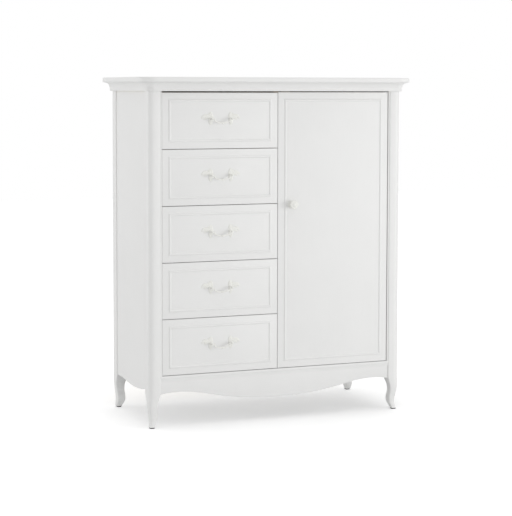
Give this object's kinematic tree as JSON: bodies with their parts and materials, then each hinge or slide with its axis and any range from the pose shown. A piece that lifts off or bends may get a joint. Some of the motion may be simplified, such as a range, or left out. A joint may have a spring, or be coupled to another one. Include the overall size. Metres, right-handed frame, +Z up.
{
  "type": "chifforobe",
  "caption": "Painted chifforobe with a stack of drawers beside one tall door, coved cornice, rounded corner posts, shaped apron and cabriole legs.",
  "frame": {"origin": "on the floor under the centre of the overall bounding box", "axes": "+Z up; +X to the right seen from the front; the front faces -Y"},
  "size_m": [1.172, 0.522, 1.372],
  "materials": {
    "painted_wood": "satin white lacquer",
    "interior_wood": "clear-sealed light hardwood",
    "back_board": "bare plywood",
    "painted_pull": "satin off-white paint on cast metal",
    "steel": "zinc plated",
    "catch_plastic": "matte white",
    "glide_plastic": "matte black"
  },
  "bodies": {
    "case": {"back_panel": "back_board", "base_strip": "painted_wood", "bottom_panel": "interior_wood", "case_top_panel": "interior_wood", "centre_partition": "interior_wood", "cornice_front": "painted_wood", "cornice_left": "painted_wood", "cornice_right": "painted_wood", "door_catch": "catch_plastic", "drawer_runners": "interior_wood", "face_stiles": "painted_wood", "floor_glides": "glide_plastic", "front_apron": "painted_wood", "front_left_post": "painted_wood", "front_right_post": "painted_wood", "garment_rod": "interior_wood", "left_side_panel": "painted_wood", "pivot_plates": "steel", "rear_left_post": "painted_wood", "rear_right_post": "painted_wood", "right_side_panel": "painted_wood", "rod_brackets": "interior_wood", "runner_battens": "interior_wood", "shelf": "interior_wood", "shelf_cleats": "interior_wood", "top_board": "painted_wood", "top_rails": "interior_wood"},
    "drawer_1": {"drawer_1_front": "painted_wood", "drawer_1_beading": "painted_wood", "drawer_1_box": "interior_wood", "drawer_1_pull_mounts": "painted_pull"},
    "bail_1": {"drawer_1_bail": "painted_pull"},
    "drawer_2": {"drawer_2_front": "painted_wood", "drawer_2_beading": "painted_wood", "drawer_2_box": "interior_wood", "drawer_2_pull_mounts": "painted_pull"},
    "bail_2": {"drawer_2_bail": "painted_pull"},
    "drawer_3": {"drawer_3_front": "painted_wood", "drawer_3_beading": "painted_wood", "drawer_3_box": "interior_wood", "drawer_3_pull_mounts": "painted_pull"},
    "bail_3": {"drawer_3_bail": "painted_pull"},
    "drawer_4": {"drawer_4_front": "painted_wood", "drawer_4_beading": "painted_wood", "drawer_4_box": "interior_wood", "drawer_4_pull_mounts": "painted_pull"},
    "bail_4": {"drawer_4_bail": "painted_pull"},
    "drawer_5": {"drawer_5_front": "painted_wood", "drawer_5_beading": "painted_wood", "drawer_5_box": "interior_wood", "drawer_5_pull_mounts": "painted_pull"},
    "bail_5": {"drawer_5_bail": "painted_pull"},
    "door": {"door_panel": "painted_wood", "door_beading": "painted_wood", "door_knob": "painted_pull", "pivot_sockets": "steel", "catch_strike": "steel"}
  },
  "joints": [
    {"name": "drawer_1_slide", "type": "slide", "parent": "case", "child": "drawer_1", "axis": [0, -1, 0], "range_m": [0, 0.3]},
    {"name": "drawer_2_slide", "type": "slide", "parent": "case", "child": "drawer_2", "axis": [0, -1, 0], "range_m": [0, 0.3]},
    {"name": "drawer_3_slide", "type": "slide", "parent": "case", "child": "drawer_3", "axis": [0, -1, 0], "range_m": [0, 0.3]},
    {"name": "drawer_4_slide", "type": "slide", "parent": "case", "child": "drawer_4", "axis": [0, -1, 0], "range_m": [0, 0.3]},
    {"name": "drawer_5_slide", "type": "slide", "parent": "case", "child": "drawer_5", "axis": [0, -1, 0], "range_m": [0, 0.3]},
    {"name": "bail_1_swing", "type": "hinge", "parent": "drawer_1", "child": "bail_1", "pos_m": [-0.2451, -0.238, 1.2088], "axis": [-1, 0, 0], "range_deg": [0, 85]},
    {"name": "bail_2_swing", "type": "hinge", "parent": "drawer_2", "child": "bail_2", "pos_m": [-0.2451, -0.238, 0.9874], "axis": [-1, 0, 0], "range_deg": [0, 85]},
    {"name": "bail_3_swing", "type": "hinge", "parent": "drawer_3", "child": "bail_3", "pos_m": [-0.2451, -0.238, 0.766], "axis": [-1, 0, 0], "range_deg": [0, 85]},
    {"name": "bail_4_swing", "type": "hinge", "parent": "drawer_4", "child": "bail_4", "pos_m": [-0.2451, -0.238, 0.5446], "axis": [-1, 0, 0], "range_deg": [0, 85]},
    {"name": "bail_5_swing", "type": "hinge", "parent": "drawer_5", "child": "bail_5", "pos_m": [-0.2451, -0.238, 0.3232], "axis": [-1, 0, 0], "range_deg": [0, 85]},
    {"name": "door_swing", "type": "hinge", "parent": "case", "child": "door", "pos_m": [0.4748, -0.207, 0.76], "axis": [0, 0, 1], "range_deg": [0, 105]}
  ]
}
